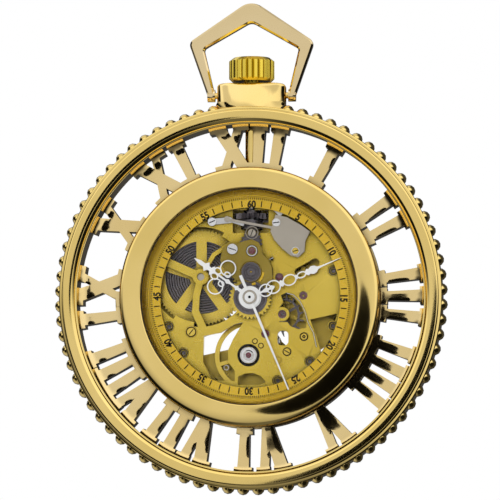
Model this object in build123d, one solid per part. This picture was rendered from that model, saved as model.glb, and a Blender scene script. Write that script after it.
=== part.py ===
from build123d import *
import math
import os

# Open-numeral skeleton pocket watch, in millimetres.
# It is drawn lying on its back: x to the right, y towards 12 o'clock, z towards the reader,
# with the hands' axis through (0, 0) and z = 0 on the main plate's dial face.
# save() stands it up so that +Z is 12 o'clock, the dial faces -Y, and the origin is the bow's eye.

os.makedirs("parts", exist_ok=True)

# Case
BEAD_RADIUS = 23.5
BEADS = 80
RIM_RADIUS = 22.85
RIM_FRONT = 2.1
RIM_BACK = -4.4
BAND_OUTER = 22.45
LINING_OUTER = 21.15
LINING_INNER = 20.95
NUMERAL_FRONT = -0.6
NUMERAL_BACK = -3.4
CASE_OUTER = 15.3
CASE_INNER = 12.9
CASE_FRONT = 2.4
CASE_BACK = -5.1
BEZEL_CREST = 3.4
BACK_FACE = -5.9
CRYSTAL_RADIUS = 12.9
PLATE_RADIUS = 12.3
PLATE_BACK = -0.95

# Stem, crown, pendant and bow
STEM_Z = -1.6
STEM_RADIUS = 0.5
CROWN_RADIUS = 2.72
CROWN_RIBS = 24
PENDANT_TOP = 25.76
PENDANT_HALF = 4.12
PENDANT_DEPTH = 4.6
BOW_PIVOT_Y = 24.4
BOW_EYE_Y = 33.25
BOW_DEPTH = 1.5

# Arbors, as (x, y)
CENTRE = (0.0, 0.0)
BARREL = (-5.98, 2.55)
CROWN_WHEEL = (0.0, 6.9)
THIRD = (3.42, 2.46)
FOURTH = (6.28, 0.27)
ESCAPE = (3.76, -1.96)
PALLET = (1.75, -4.28)
BALANCE = (-0.26, -6.82)
MINUTE = (0.09, 3.06)

# Tooth counts
BARREL_TEETH = 80
CENTRE_PINION = 12
CENTRE_TEETH = 80
THIRD_PINION = 10
THIRD_TEETH = 75
FOURTH_PINION = 10
FOURTH_TEETH = 80
ESCAPE_PINION = 8
ESCAPE_TEETH = 15
SWEEP_TEETH = 75
SECONDS_PINION = 10
CANNON_TEETH = 10
MINUTE_TEETH = 30
MINUTE_PINION = 8
HOUR_TEETH = 32
SETTING_TEETH = 16
CROWN_WHEEL_TEETH = 27
RATCHET_TEETH = 50
WINDING_TEETH = 20

# Hands at 10:11:26, as clock angles
HOUR_ANGLE = 305.4
MINUTE_ANGLE = 66.85
SECONDS_ANGLE = 157.2


def polar(clock, radius, at=CENTRE):
    """A point at a clock angle: 0 is 12 o'clock, and angles grow clockwise."""
    turn = math.radians(clock)
    return (at[0] + radius * math.sin(turn), at[1] + radius * math.cos(turn))


def on_circle(angle, radius, at=CENTRE):
    """A point at an ordinary angle, counted anticlockwise from +X."""
    turn = math.radians(angle)
    return (at[0] + radius * math.cos(turn), at[1] + radius * math.sin(turn))


def distance(a, b):
    return math.hypot(b[0] - a[0], b[1] - a[1])


def bearing(a, b):
    return math.degrees(math.atan2(b[1] - a[1], b[0] - a[0]))


def raised(sketch, low, high):
    return Pos(0, 0, low) * extrude(sketch, high - low, dir=(0, 0, 1))


def disc(radius, low, high, at=CENTRE):
    return Pos(at[0], at[1], (low + high) / 2) * Cylinder(radius, high - low)


def ring(outer, inner, low, high, at=CENTRE):
    return raised(Pos(*at) * (Circle(outer) - Circle(inner)), low, high)


def block(x0, x1, y0, y1, low, high):
    return Pos((x0 + x1) / 2, (y0 + y1) / 2, (low + high) / 2) * Box(x1 - x0, y1 - y0, high - low)


def polygon(*points):
    """A filled outline that always faces +Z, whichever way round its points run."""
    following = points[1:] + points[:1]
    area = sum(a[0] * b[1] - b[0] * a[1] for a, b in zip(points, following))
    ordered = points if area > 0 else points[::-1]
    return Polygon(*ordered, align=None)


def turned(profile, at=CENTRE):
    """A lathe shape from (radius, z) points."""
    return Pos(*at) * revolve(Plane.XZ * polygon(*profile), Axis.Z)


def turned_curve(crest, base):
    """A lathe shape: a smooth curve through the crest points, closed by straight lines through base."""
    edges = [Spline(*crest)]
    corners = [crest[-1], *base, crest[0]]
    edges += [Line(a, b) for a, b in zip(corners, corners[1:])]
    return revolve(Plane.XZ * make_face(edges), Axis.Z)


def arbor(at, bore, *steps):
    """A stepped shaft. Each step is (radius, low, high), from the back to the front."""
    profile = [(bore, steps[0][1])]
    for radius, low, high in steps:
        profile.append((radius, low))
        profile.append((radius, high))
    profile.append((bore, steps[-1][2]))
    return turned(profile, at)


def bar(a, b, width):
    """A straight strip from a to b with round ends."""
    middle = ((a[0] + b[0]) / 2, (a[1] + b[1]) / 2)
    return Pos(*middle) * Rot(0, 0, bearing(a, b)) * SlotCenterToCenter(distance(a, b), width)


def strip(a, b, width):
    """A straight strip from a to b with square ends."""
    middle = ((a[0] + b[0]) / 2, (a[1] + b[1]) / 2)
    return Pos(*middle) * Rot(0, 0, bearing(a, b)) * Rectangle(distance(a, b), width)


def along_stem(shape):
    """Turns a shape drawn along +Z so that it lies along the stem, towards 12 o'clock."""
    return Pos(0, 0, STEM_Z) * Rot(-90, 0, 0) * shape


def toothed(teeth, module, tooth_at):
    """The outline of a spur wheel with one tooth centred on tooth_at."""
    pitch = 360 / teeth
    root = (teeth / 2 - 1.3) * module
    tip = (teeth / 2 + 0.8) * module
    points = []
    for i in range(teeth):
        centre = tooth_at + i * pitch
        points.append(on_circle(centre - pitch / 2, root))
        points.append(on_circle(centre - pitch / 20, tip))
        points.append(on_circle(centre + pitch / 20, tip))
    return polygon(*points)


def meshing(first, first_teeth, first_tooth_at, second, second_teeth):
    """The tooth_at of a second wheel whose gap meets a tooth of the first on their centre line."""
    line = bearing(first, second)
    offset = ((line - first_tooth_at) * first_teeth / 360) % 1
    return line + 180 - (0.5 - offset) * 360 / second_teeth


def module_of(first, second, first_teeth, second_teeth):
    return 2 * distance(first, second) / (first_teeth + second_teeth)


def spoked(outline, rim, hub, spokes, width, first=0):
    """Cuts the windows between a wheel's spokes."""
    window = Circle(rim) - Circle(hub)
    for i in range(spokes):
        angle = first + i * 360 / spokes
        window -= strip((0, 0), on_circle(angle, rim + 1), width)
    return outline - window


def spiral(at, inner, outer, turns, thickness, low, high, steps=20):
    """A flat spiral spring as a closed strip."""
    count = int(turns * steps)
    radii = [inner + (outer - inner) * i / count for i in range(count + 1)]
    outward = [on_circle(i * 360 / steps, radius, at) for i, radius in enumerate(radii)]
    back = [on_circle(i * 360 / steps, radius - thickness, at) for i, radius in enumerate(radii)]
    return raised(polygon(*outward, *reversed(back)), low, high)


def save(name, *shapes):
    """Stands the shapes up and writes them as one sub-part."""
    solids = [solid for shape in shapes for solid in shape.solids()]
    body = solids[0] if len(solids) == 1 else Compound(children=solids)
    placed = Pos(0, STEM_Z, -BOW_EYE_Y) * Rot(90, 0, 0) * body
    placed.label = name
    export_step(placed, f"parts/{name}.step")


# ---------------------------------------------------------------- case

STEM_HOLE = along_stem(Pos(0, 0, 18) * Cylinder(0.78, 14))


def beaded_outline():
    """The rim seen from the front: one arc per bead, and a plain stretch under the pendant."""
    pitch = 360 / BEADS
    plain = 10.5
    edges = []
    for i in range(BEADS):
        clock = (i + 0.5) * pitch
        start = polar(clock - pitch / 2, RIM_RADIUS)
        end = polar(clock + pitch / 2, RIM_RADIUS)
        under_pendant = clock < plain or clock > 360 - plain
        crest = polar(clock, RIM_RADIUS if under_pendant else BEAD_RADIUS)
        edges.append(ThreePointArc(start, crest, end))
    return make_face(edges)


rim = raised(beaded_outline(), RIM_BACK, RIM_FRONT - 0.5)
rim -= disc(LINING_OUTER + 0.01, RIM_BACK - 1, RIM_FRONT)
rim -= STEM_HOLE
save("outer_rim", rim)

BAND_CREST = [
    (LINING_INNER + 0.1, RIM_FRONT - 0.42),
    (LINING_INNER + 0.4, RIM_FRONT - 0.17),
    (LINING_INNER + 0.75, RIM_FRONT - 0.04),
    (LINING_INNER + 1.1, RIM_FRONT),
    (BAND_OUTER - 0.12, RIM_FRONT - 0.06),
    (BAND_OUTER, RIM_FRONT - 0.24),
]
BAND_BASE = [(BAND_OUTER, RIM_FRONT - 0.48), (LINING_INNER + 0.1, RIM_FRONT - 0.48)]
save("outer_bezel", turned_curve(BAND_CREST, BAND_BASE))

# Each numeral is its letters with the clock angle of their middles.
NUMERALS = {
    12: [("X", 352.6), ("I", 2.75), ("I", 9.75)],
    1: [("I", 29.25)],
    2: [("I", 54.75), ("I", 62.75)],
    3: [("I", 81.75), ("I", 89.25), ("I", 96.65)],
    4: [("I", 109.65), ("I", 116.5), ("I", 122.8), ("I", 129.2)],
    5: [("V", 148.4)],
    6: [("V", 172.6), ("I", 182.75)],
    7: [("V", 200.3), ("I", 209.5), ("I", 216.75)],
    8: [("V", 229.1), ("I", 237.0), ("I", 243.0), ("I", 249.25)],
    9: [("I", 263.0), ("X", 274.6)],
    10: [("X", 299.2)],
    11: [("X", 322.8), ("I", 333.8)],
}
FOOT = 15.45
FOOT_SERIF = 16.5
HEAD_SERIF = 19.9
HEAD = 21.0


def arc_band(clock_a, clock_b, inner, outer):
    """The part of a ring between two clock angles, drawn anticlockwise."""
    middle = (clock_a + clock_b) / 2
    outside = ThreePointArc(polar(clock_b, outer), polar(middle, outer), polar(clock_a, outer))
    first_side = Line(polar(clock_a, outer), polar(clock_a, inner))
    inside = ThreePointArc(polar(clock_a, inner), polar(middle, inner), polar(clock_b, inner))
    second_side = Line(polar(clock_b, inner), polar(clock_b, outer))
    return make_face([outside, first_side, inside, second_side])


def stroke(centre, foot, head, inner=FOOT, outer=HEAD):
    """A bar from the foot pair of angles to the head pair, both counted from the centre."""
    return polygon(
        polar(centre + foot[0], inner),
        polar(centre + foot[1], inner),
        polar(centre + head[1], outer),
        polar(centre + head[0], outer),
    )


def letter(kind, centre):
    if kind == "I":
        return [
            stroke(centre, (-1.95, 1.95), (-1.95, 1.95)),
            arc_band(centre - 3.5, centre + 3.5, FOOT, FOOT_SERIF - 0.25),
            arc_band(centre - 3.0, centre + 3.0, HEAD_SERIF + 0.25, HEAD),
        ]
    if kind == "V":
        return [
            stroke(centre, (-2.4, 2.6), (-5.3, -1.0)),
            stroke(centre, (-1.2, 2.6), (1.6, 4.6)),
            arc_band(centre - 6.2, centre - 0.3, HEAD_SERIF + 0.25, HEAD),
            arc_band(centre + 1.1, centre + 5.6, HEAD_SERIF + 0.25, HEAD),
        ]
    return [
        stroke(centre, (1.8, 7.6), (-6.0, -1.6)),
        stroke(centre, (-6.6, -2.6), (2.2, 5.0)),
        arc_band(centre - 8.0, centre - 1.4, FOOT, FOOT_SERIF - 0.25),
        arc_band(centre + 1.2, centre + 8.2, FOOT, FOOT_SERIF - 0.25),
        arc_band(centre - 6.7, centre - 0.9, HEAD_SERIF + 0.25, HEAD),
        arc_band(centre + 1.3, centre + 6.6, HEAD_SERIF + 0.25, HEAD),
    ]


strokes = [piece for letters in NUMERALS.values() for kind, at in letters for piece in letter(kind, at)]
hoops = [Circle(LINING_OUTER) - Circle(LINING_INNER), Circle(FOOT + 0.1) - Circle(CASE_OUTER + 0.01)]

# The front of the letters is a shallow dish that sweeps up into the rim.
DISH = [
    (FOOT - 0.2, NUMERAL_FRONT + 0.34), (16.0, NUMERAL_FRONT + 0.24), (16.6, NUMERAL_FRONT + 0.155),
    (17.2, NUMERAL_FRONT + 0.085), (17.9, NUMERAL_FRONT + 0.03), (18.7, NUMERAL_FRONT), (19.2, NUMERAL_FRONT + 0.015),
    (19.6, NUMERAL_FRONT + 0.06), (19.95, NUMERAL_FRONT + 0.14), (20.25, NUMERAL_FRONT + 0.25),
    (20.5, NUMERAL_FRONT + 0.37), (20.75, NUMERAL_FRONT + 0.54), (LINING_INNER + 0.1, NUMERAL_FRONT + 0.8),
]
DISH_BASE = [(LINING_OUTER + 1, NUMERAL_FRONT + 0.8), (LINING_OUTER + 1, NUMERAL_BACK - 1),
             (FOOT - 0.2, NUMERAL_BACK - 1)]
casting = raised(Sketch() + strokes, NUMERAL_BACK, NUMERAL_FRONT + 0.75)
casting &= turned([*DISH, *DISH_BASE])
casting += raised(Sketch() + hoops, NUMERAL_BACK, NUMERAL_FRONT)
casting += ring(LINING_OUTER, LINING_INNER, NUMERAL_FRONT, RIM_FRONT - 0.49)
casting += ring(LINING_OUTER, LINING_INNER, RIM_BACK, NUMERAL_BACK)
save("numeral_ring", casting - STEM_HOLE)

middle = ring(CASE_OUTER, CASE_INNER, CASE_BACK, CASE_FRONT)
save("mid_case", middle - STEM_HOLE)

BEZEL_CURVE = [
    (CRYSTAL_RADIUS + 0.15, BEZEL_CREST - 0.35),
    (CRYSTAL_RADIUS + 0.25, BEZEL_CREST - 0.08),
    (CRYSTAL_RADIUS + 0.6, BEZEL_CREST),
    (14.2, BEZEL_CREST - 0.05),
    (14.85, BEZEL_CREST - 0.17),
    (15.25, BEZEL_CREST - 0.36),
    (15.44, BEZEL_CREST - 0.65),
]
BEZEL_BASE = [(15.44, CASE_FRONT + 0.01), (CRYSTAL_RADIUS + 0.15, CASE_FRONT + 0.01)]
save("front_bezel", turned_curve(BEZEL_CURVE, BEZEL_BASE))

CRYSTAL_PROFILE = [
    (0, CASE_FRONT + 0.2),
    (CRYSTAL_RADIUS - 0.15, CASE_FRONT + 0.2),
    (CRYSTAL_RADIUS - 0.15, CASE_FRONT + 0.6),
    (CRYSTAL_RADIUS - 0.6, CASE_FRONT + 0.85),
    (0, CASE_FRONT + 0.9),
]
save("front_crystal", turned(CRYSTAL_PROFILE))

BACK_PROFILE = [
    (11.6, CASE_BACK - 0.4),
    (12.6, CASE_BACK - 0.01),
    (CASE_OUTER + 0.1, CASE_BACK - 0.01),
    (CASE_OUTER + 0.1, CASE_BACK - 0.4),
    (CASE_OUTER - 0.4, BACK_FACE),
    (12.1, BACK_FACE),
    (11.6, CASE_BACK - 0.65),
]
save("back_cover", turned(BACK_PROFILE))

save("rear_crystal", disc(11.45, CASE_BACK - 0.65, CASE_BACK - 0.05))

front_gasket = ring(CRYSTAL_RADIUS + 0.12, CRYSTAL_RADIUS - 0.13, CASE_FRONT + 0.22, CASE_FRONT + 0.55)
rear_gasket = ring(11.58, 11.47, CASE_BACK - 0.62, CASE_BACK - 0.42)
save("crystal_gaskets", front_gasket, rear_gasket)

holder = ring(CASE_INNER - 0.02, PLATE_RADIUS + 0.03, -2.4, 0.28)
save("movement_holder", holder - STEM_HOLE)

CHAPTER_PROFILE = [
    (10.75, 0.3),
    (CASE_INNER - 0.02, 0.3),
    (CASE_INNER - 0.02, 1.6),
    (12.05, 0.75),
    (10.75, 0.75),
]
save("chapter_ring", turned(CHAPTER_PROFILE))

clamps = []
clamp_screws = []
for clock in (32, 214):
    x, y = polar(clock, 11.85)
    clamp = block(-0.7, 0.7, -0.75, 1.0, 0, 0.35) - disc(0.3, -1, 1)
    clamps.append(Pos(x, y, -2.8) * Rot(0, 0, -clock) * clamp)
    clamp_screws.append(arbor((x, y), 0, (0.5, -3.1, -2.81), (0.28, -2.81, -1.0)))
save("casing_clamps", *clamps)
save("casing_screws", *clamp_screws)

# ---------------------------------------------------------------- pendant, crown and bow

# The groove that the setting lever's pin rides in, on the stem.
GROOVE_Y = 11.0
GROOVE_HALF = 0.35


def upright_block(half_width, depth, corner, bottom, top):
    """A block with rounded upright edges and a softened top, standing on its base towards 12 o'clock."""
    body = extrude(RectangleRounded(2 * half_width, depth, corner), top - bottom)
    body = fillet(body.faces().sort_by(Axis.Z)[-1].edges(), 0.45)
    return along_stem(Pos(0, 0, bottom) * body)


pendant = upright_block(PENDANT_HALF, PENDANT_DEPTH, 1.9, 21.0, PENDANT_TOP)
collar = raised(polygon((-4.35, 22.0), (4.35, 22.0), (4.35, 22.7), (3.9, 23.45), (-3.9, 23.45), (-4.35, 22.7)),
                STEM_Z - PENDANT_DEPTH / 2, STEM_Z + PENDANT_DEPTH / 2)
pendant += collar
pendant -= disc(RIM_RADIUS + 0.02, -9, 9)
pendant -= rim
pendant -= along_stem(Pos(0, 0, 24) * Cylinder(0.78, 8))
pin_hole = Pos(0, BOW_PIVOT_Y, STEM_Z) * Rot(0, 90, 0) * Cylinder(0.4, 20)
pin_room = pin_hole - block(-3, 3, 20, 28, -5, 5)
pendant -= pin_room
save("pendant", pendant)

sleeve = along_stem(Pos(0, 0, 19.3) * (Cylinder(0.76, 12.6) - Cylinder(STEM_RADIUS + 0.05, 13)))
save("pendant_sleeve", sleeve)

pins = []
for side in (-1, 1):
    pin = Pos(side * 4.25, BOW_PIVOT_Y, STEM_Z) * Rot(0, 90, 0) * Cylinder(0.38, 2.1)
    pins.append(pin)
save("bow_pins", *pins)

BOW_OUTSIDE = [(-5.3, BOW_PIVOT_Y), (5.3, BOW_PIVOT_Y), (7.55, 30.8), (0, 35.95), (-7.55, 30.8)]
BOW_INSIDE = [(-4.4, BOW_PIVOT_Y - 2), (4.4, BOW_PIVOT_Y - 2), (4.4, BOW_PIVOT_Y), (5.7, 30.0),
              (0, BOW_EYE_Y), (-5.7, 30.0), (-4.4, BOW_PIVOT_Y)]


def rounded_tips(outline, corner_radius, apex_radius):
    """Rounds the pentagon's two shoulders and its apex."""
    above = outline.vertices().filter_by(lambda vertex: vertex.Y > BOW_PIVOT_Y + 3)
    ordered = above.sort_by(Axis.Y)
    outline = fillet(ordered[:2], corner_radius)
    apex = outline.vertices().sort_by(Axis.Y)[-1]
    return fillet(apex, apex_radius)


bow_face = rounded_tips(polygon(*BOW_OUTSIDE), 0.8, 2.2) - rounded_tips(polygon(*BOW_INSIDE), 0.5, 1.0)
bow = raised(bow_face, STEM_Z - BOW_DEPTH / 2, STEM_Z + BOW_DEPTH / 2)
for level in (Axis.Z, -Axis.Z):
    bow = chamfer(bow.faces().sort_by(level)[-1].edges(), 0.22)
for side in (-1, 1):
    eye = Pos(side * 4.85, BOW_PIVOT_Y, STEM_Z) * Rot(0, 90, 0)
    bow += eye * Cylinder(BOW_DEPTH / 2, 0.9)
for side in (-1, 1):
    eye = Pos(side * 4.85, BOW_PIVOT_Y, STEM_Z) * Rot(0, 90, 0)
    bow -= eye * Cylinder(0.42, 1.1)
save("bow", bow)


def ribbed(radius, depth, ribs):
    points = []
    for i in range(ribs):
        angle = i * 360 / ribs
        points.append(on_circle(angle - 90 / ribs, radius))
        points.append(on_circle(angle + 90 / ribs, radius))
        points.append(on_circle(angle + 180 / ribs, radius - depth))
    return polygon(*points)


crown = raised(ribbed(CROWN_RADIUS, 0.22, CROWN_RIBS), 26.06, 28.93)
CROWN_BOUND = [
    (0, 26.06), (CROWN_RADIUS - 0.35, 26.06), (CROWN_RADIUS, 26.4), (CROWN_RADIUS, 28.5),
    (2.15, 28.93), (0, 28.93),
]
crown &= turned(CROWN_BOUND)
crown += disc(1.0, 25.8, 26.06)
crown -= disc(STEM_RADIUS, 25.0, 27.6)
save("crown", along_stem(crown))

STEM_STEPS = [
    (0.25, 6.9, 8.0),
    (0.42, 8.0, 9.4),
    (STEM_RADIUS, 9.4, GROOVE_Y - GROOVE_HALF),
    (0.28, GROOVE_Y - GROOVE_HALF, GROOVE_Y + GROOVE_HALF),
    (STEM_RADIUS, GROOVE_Y + GROOVE_HALF, 27.58),
]
save("winding_stem", along_stem(arbor(CENTRE, 0, *STEM_STEPS)))

# ---------------------------------------------------------------- train phases

barrel_phase = 0.0
centre_pinion_phase = meshing(BARREL, BARREL_TEETH, barrel_phase, CENTRE, CENTRE_PINION)
centre_phase = 0.0
third_pinion_phase = meshing(CENTRE, CENTRE_TEETH, centre_phase, THIRD, THIRD_PINION)
third_phase = 0.0
fourth_pinion_phase = meshing(THIRD, THIRD_TEETH, third_phase, FOURTH, FOURTH_PINION)
fourth_phase = 0.0
escape_pinion_phase = meshing(FOURTH, FOURTH_TEETH, fourth_phase, ESCAPE, ESCAPE_PINION)
sweep_phase = 0.0
seconds_pinion_phase = meshing(THIRD, SWEEP_TEETH, sweep_phase, CENTRE, SECONDS_PINION)
cannon_phase = 0.0
minute_phase = meshing(CENTRE, CANNON_TEETH, cannon_phase, MINUTE, MINUTE_TEETH)
minute_pinion_phase = 0.0
hour_phase = meshing(MINUTE, MINUTE_PINION, minute_pinion_phase, CENTRE, HOUR_TEETH)
ratchet_phase = 0.0
crown_wheel_phase = meshing(BARREL, RATCHET_TEETH, ratchet_phase, CROWN_WHEEL, CROWN_WHEEL_TEETH)

BARREL_MODULE = module_of(BARREL, CENTRE, BARREL_TEETH, CENTRE_PINION)
CENTRE_MODULE = module_of(CENTRE, THIRD, CENTRE_TEETH, THIRD_PINION)
THIRD_MODULE = module_of(THIRD, FOURTH, THIRD_TEETH, FOURTH_PINION)
FOURTH_MODULE = module_of(FOURTH, ESCAPE, FOURTH_TEETH, ESCAPE_PINION)
SWEEP_MODULE = module_of(THIRD, CENTRE, SWEEP_TEETH, SECONDS_PINION)
MOTION_MODULE = module_of(CENTRE, MINUTE, CANNON_TEETH, MINUTE_TEETH)
HOUR_MODULE = module_of(CENTRE, MINUTE, HOUR_TEETH, MINUTE_PINION)
WINDING_MODULE = module_of(BARREL, CROWN_WHEEL, RATCHET_TEETH, CROWN_WHEEL_TEETH)
SETTING = (MINUTE[0], MINUTE[1] + (MINUTE_TEETH + SETTING_TEETH) * MOTION_MODULE / 2)
setting_phase = meshing(MINUTE, MINUTE_TEETH, minute_phase, SETTING, SETTING_TEETH)

# ---------------------------------------------------------------- barrel and going train

barrel_front = Pos(*BARREL) * spoked(toothed(BARREL_TEETH, BARREL_MODULE, barrel_phase), 4.35, 1.4, 5, 1.25, 18)
drum = raised(barrel_front, -1.45, -1.2) - disc(0.72, -2, 0, BARREL)
drum += ring(5.3, 5.08, -2.6, -1.44, BARREL)
save("barrel", drum)
save("barrel_cover", ring(5.3, 0.72, -2.75, -2.61, BARREL))
save("mainspring", spiral(BARREL, 1.0, 4.95, 13, 0.18, -2.5, -1.55))

arbor_steps = [(0.4, -3.75, -2.95), (0.68, -2.95, -1.15), (0.4, -1.15, -0.35)]
save("barrel_arbor", arbor(BARREL, 0, *arbor_steps))

centre_wheel = raised(spoked(toothed(CENTRE_TEETH, CENTRE_MODULE, centre_phase), 3.2, 0.9, 4, 0.45, 20),
                      -3.05, -2.87)
centre_wheel -= disc(0.3, -4, 0)
centre_wheel += raised(toothed(CENTRE_PINION, BARREL_MODULE, centre_pinion_phase) - Circle(0.3), -1.5, -1.15)
centre_wheel += arbor(CENTRE, 0.22, (0.34, -3.75, -3.05), (0.42, -3.05, -1.0), (0.34, -1.0, 1.2))
save("center_wheel", centre_wheel)

third_wheel = Pos(*THIRD) * spoked(toothed(THIRD_TEETH, THIRD_MODULE, third_phase), 2.7, 0.7, 4, 0.36, 45)
third = raised(third_wheel, -2.45, -2.27)
third += raised(Pos(*THIRD) * toothed(THIRD_PINION, CENTRE_MODULE, third_pinion_phase), -3.15, -2.8)
third += arbor(THIRD, 0, (0.12, -4.15, -3.2), (0.22, -3.2, -0.97), (0.1, -0.97, -0.3))
save("third_wheel", third)

sweep = Pos(*THIRD) * spoked(toothed(SWEEP_TEETH, SWEEP_MODULE, sweep_phase), 3.2, 0.75, 5, 0.36, 10)
save("sweep_driver_wheel", raised(sweep - Pos(*THIRD) * Circle(0.13), -4.15, -3.98))

seconds_pinion = raised(toothed(SECONDS_PINION, SWEEP_MODULE, seconds_pinion_phase), -4.2, -3.92)
seconds_pinion += disc(0.16, -4.2, 1.85)
save("seconds_pinion", seconds_pinion)

fourth_outline = toothed(FOURTH_TEETH, FOURTH_MODULE, fourth_phase)
fourth = raised(Pos(*FOURTH) * spoked(fourth_outline, 2.6, 0.65, 4, 0.34, 0), -1.95, -1.79)
fourth += raised(Pos(*FOURTH) * toothed(FOURTH_PINION, THIRD_MODULE, fourth_pinion_phase), -2.55, -2.2)
fourth += arbor(FOURTH, 0, (0.1, -3.7, -3.2), (0.2, -3.2, -0.97), (0.1, -0.97, -0.3))
save("fourth_wheel", fourth)


def escape_outline():
    """Club teeth that lean forward, one per tooth, on a thin rim."""
    points = []
    pitch = 360 / ESCAPE_TEETH
    for i in range(ESCAPE_TEETH):
        angle = i * pitch
        points.append(on_circle(angle, 2.0))
        points.append(on_circle(angle + 7.0, 2.54))
        points.append(on_circle(angle + 10.0, 2.66))
        points.append(on_circle(angle + 8.5, 2.0))
    return polygon(*points)


escape = raised(Pos(*ESCAPE) * spoked(escape_outline(), 1.75, 0.5, 4, 0.28, 30), -1.43, -1.25)
escape += raised(Pos(*ESCAPE) * toothed(ESCAPE_PINION, FOURTH_MODULE, escape_pinion_phase), -2.05, -1.7)
escape += arbor(ESCAPE, 0, (0.1, -3.7, -3.2), (0.17, -3.2, -0.97), (0.1, -0.97, -0.3))
save("escape_wheel", escape)

# ---------------------------------------------------------------- escapement and balance

lever_line = bearing(PALLET, BALANCE)
roller_gap = distance(PALLET, BALANCE) - 0.72
wheel_line = bearing(PALLET, ESCAPE)
fork_outline = bar(PALLET, on_circle(lever_line, roller_gap, PALLET), 0.34) + Pos(*PALLET) * Circle(0.42)
for side in (-1, 1):
    arm_end = on_circle(wheel_line + 80 * side, 1.75, PALLET)
    stone_end = on_circle(wheel_line + 63 * side, 1.7, PALLET)
    fork_outline += bar(PALLET, arm_end, 0.34)
    fork_outline += strip(arm_end, stone_end, 0.2)
fork = raised(fork_outline, -1.43, -1.25)
fork += arbor(PALLET, 0, (0.1, -1.72, -1.5), (0.18, -1.5, -0.97), (0.1, -0.97, -0.3))
save("pallet_fork", fork)

BALANCE_RADIUS = 4.2
balance = raised(Pos(*BALANCE) * spoked(Circle(BALANCE_RADIUS), 3.65, 0.7, 3, 0.45, 75), -2.45, -2.05)
balance += arbor(BALANCE, 0, (0.09, -3.75, -3.1), (0.32, -3.1, -2.4), (0.2, -2.4, -1.5),
                 (0.5, -1.5, -1.2), (0.09, -1.2, -0.3))
save("balance_wheel", balance)
save("hairspring", spiral(BALANCE, 0.5, 2.2, 8, 0.05, -2.9, -2.72))

# ---------------------------------------------------------------- motion work and hands

cannon = raised(toothed(CANNON_TEETH, MOTION_MODULE, cannon_phase) - Circle(0.35), 0.05, 0.3)
cannon += arbor(CENTRE, 0.35, (0.5, 0.29, 1.5))
save("cannon_pinion", cannon)

minute_wheel = Pos(*MINUTE) * spoked(toothed(MINUTE_TEETH, MOTION_MODULE, minute_phase), 1.75, 0.75, 3, 0.4, 90)
minute = raised(minute_wheel, 0.08, 0.28)
minute += raised(Pos(*MINUTE) * toothed(MINUTE_PINION, HOUR_MODULE, minute_pinion_phase), 0.27, 0.58)
minute -= disc(0.24, 0, 1, MINUTE)
save("minute_wheel", minute)

hour = raised(toothed(HOUR_TEETH, HOUR_MODULE, hour_phase) - Circle(0.56), 0.36, 0.56)
hour += ring(0.76, 0.56, 0.55, 1.14)
save("hour_wheel", hour)

setting = Pos(*SETTING) * (toothed(SETTING_TEETH, MOTION_MODULE, setting_phase) - Circle(0.4))
save("setting_wheel", raised(setting, 0.08, 0.28))

HOUR_LEVEL = (0.97, 1.12)
MINUTE_LEVEL = (1.3, 1.44)
SECONDS_LEVEL = (1.66, 1.78)


def hand(clock, collar, bore, rings, blades):
    """A filigree hand: a collar, open rings along the blade, and solid blades.

    Each ring is (distance from the axis, half length, half width, sideways offset). Each blade is a
    list of (distance from the axis, half width).
    """
    outline = Circle(collar)
    for along, half_length, half_width, side in rings:
        opening = Ellipse(half_width - 0.15, half_length - 0.15)
        outline += Pos(side, along) * (Ellipse(half_width, half_length) - opening)
    for blade in blades:
        left = [(-half_width, along) for along, half_width in blade]
        right = [(half_width, along) for along, half_width in reversed(blade)]
        outline += polygon(*left, *right)
    return Rot(0, 0, -clock) * (outline - Circle(bore))


HOUR_RINGS = [
    (4.15, 0.98, 0.98, 1.32), (4.15, 0.98, 0.98, -1.32),
    (3.75, 0.42, 0.36, 0.66), (3.75, 0.42, 0.36, -0.66),
    (4.95, 0.5, 0.42, 0.38), (4.95, 0.5, 0.42, -0.38),
]
HOUR_BLADES = [
    [(1.2, 0.24), (1.75, 0.16), (1.95, 0.34), (2.15, 0.14), (2.9, 0.12), (3.3, 0.3), (3.6, 0.12), (5.5, 0.12)],
    [(5.3, 0.3), (5.55, 0.62), (5.8, 0.22), (6.1, 0.26), (6.35, 0.62), (6.7, 0.24), (7.3, 0.26), (8.15, 0.03)],
]
hour_hand = hand(HOUR_ANGLE, 1.35, 0.77, HOUR_RINGS, HOUR_BLADES)
save("hour_hand", raised(hour_hand, *HOUR_LEVEL))

MINUTE_RINGS = [
    (2.05, 0.82, 0.78, 0.0), (3.05, 0.92, 0.82, 0.0), (5.15, 0.85, 0.68, 0.0), (6.7, 0.6, 0.4, 0.0),
]
MINUTE_BLADES = [
    [(1.1, 0.15), (1.6, 0.1), (2.2, 0.3), (2.5, 0.12), (2.9, 0.28), (3.2, 0.08)],
    [(3.85, 0.2), (4.1, 0.42), (4.45, 0.2)],
    [(5.9, 0.14), (6.05, 0.3), (6.2, 0.14)],
    [(7.2, 0.16), (7.5, 0.42), (7.7, 0.3), (8.1, 0.5), (8.5, 0.42), (8.8, 0.16), (9.2, 0.1), (11.8, 0.02)],
]
minute_hand = hand(MINUTE_ANGLE, 1.2, 0.51, MINUTE_RINGS, MINUTE_BLADES)
save("minute_hand", raised(minute_hand, *MINUTE_LEVEL))

seconds_outline = polygon((-0.19, -2.8), (0.19, -2.8), (0.07, 11.95), (-0.07, 11.95)) + Circle(0.85)
seconds_hand = raised(Rot(0, 0, -SECONDS_ANGLE) * seconds_outline, *SECONDS_LEVEL)
seconds_hand += disc(0.42, SECONDS_LEVEL[0], SECONDS_LEVEL[1] + 0.16)
save("seconds_hand", seconds_hand - disc(0.17, -5, 5))

# ---------------------------------------------------------------- winding work

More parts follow.
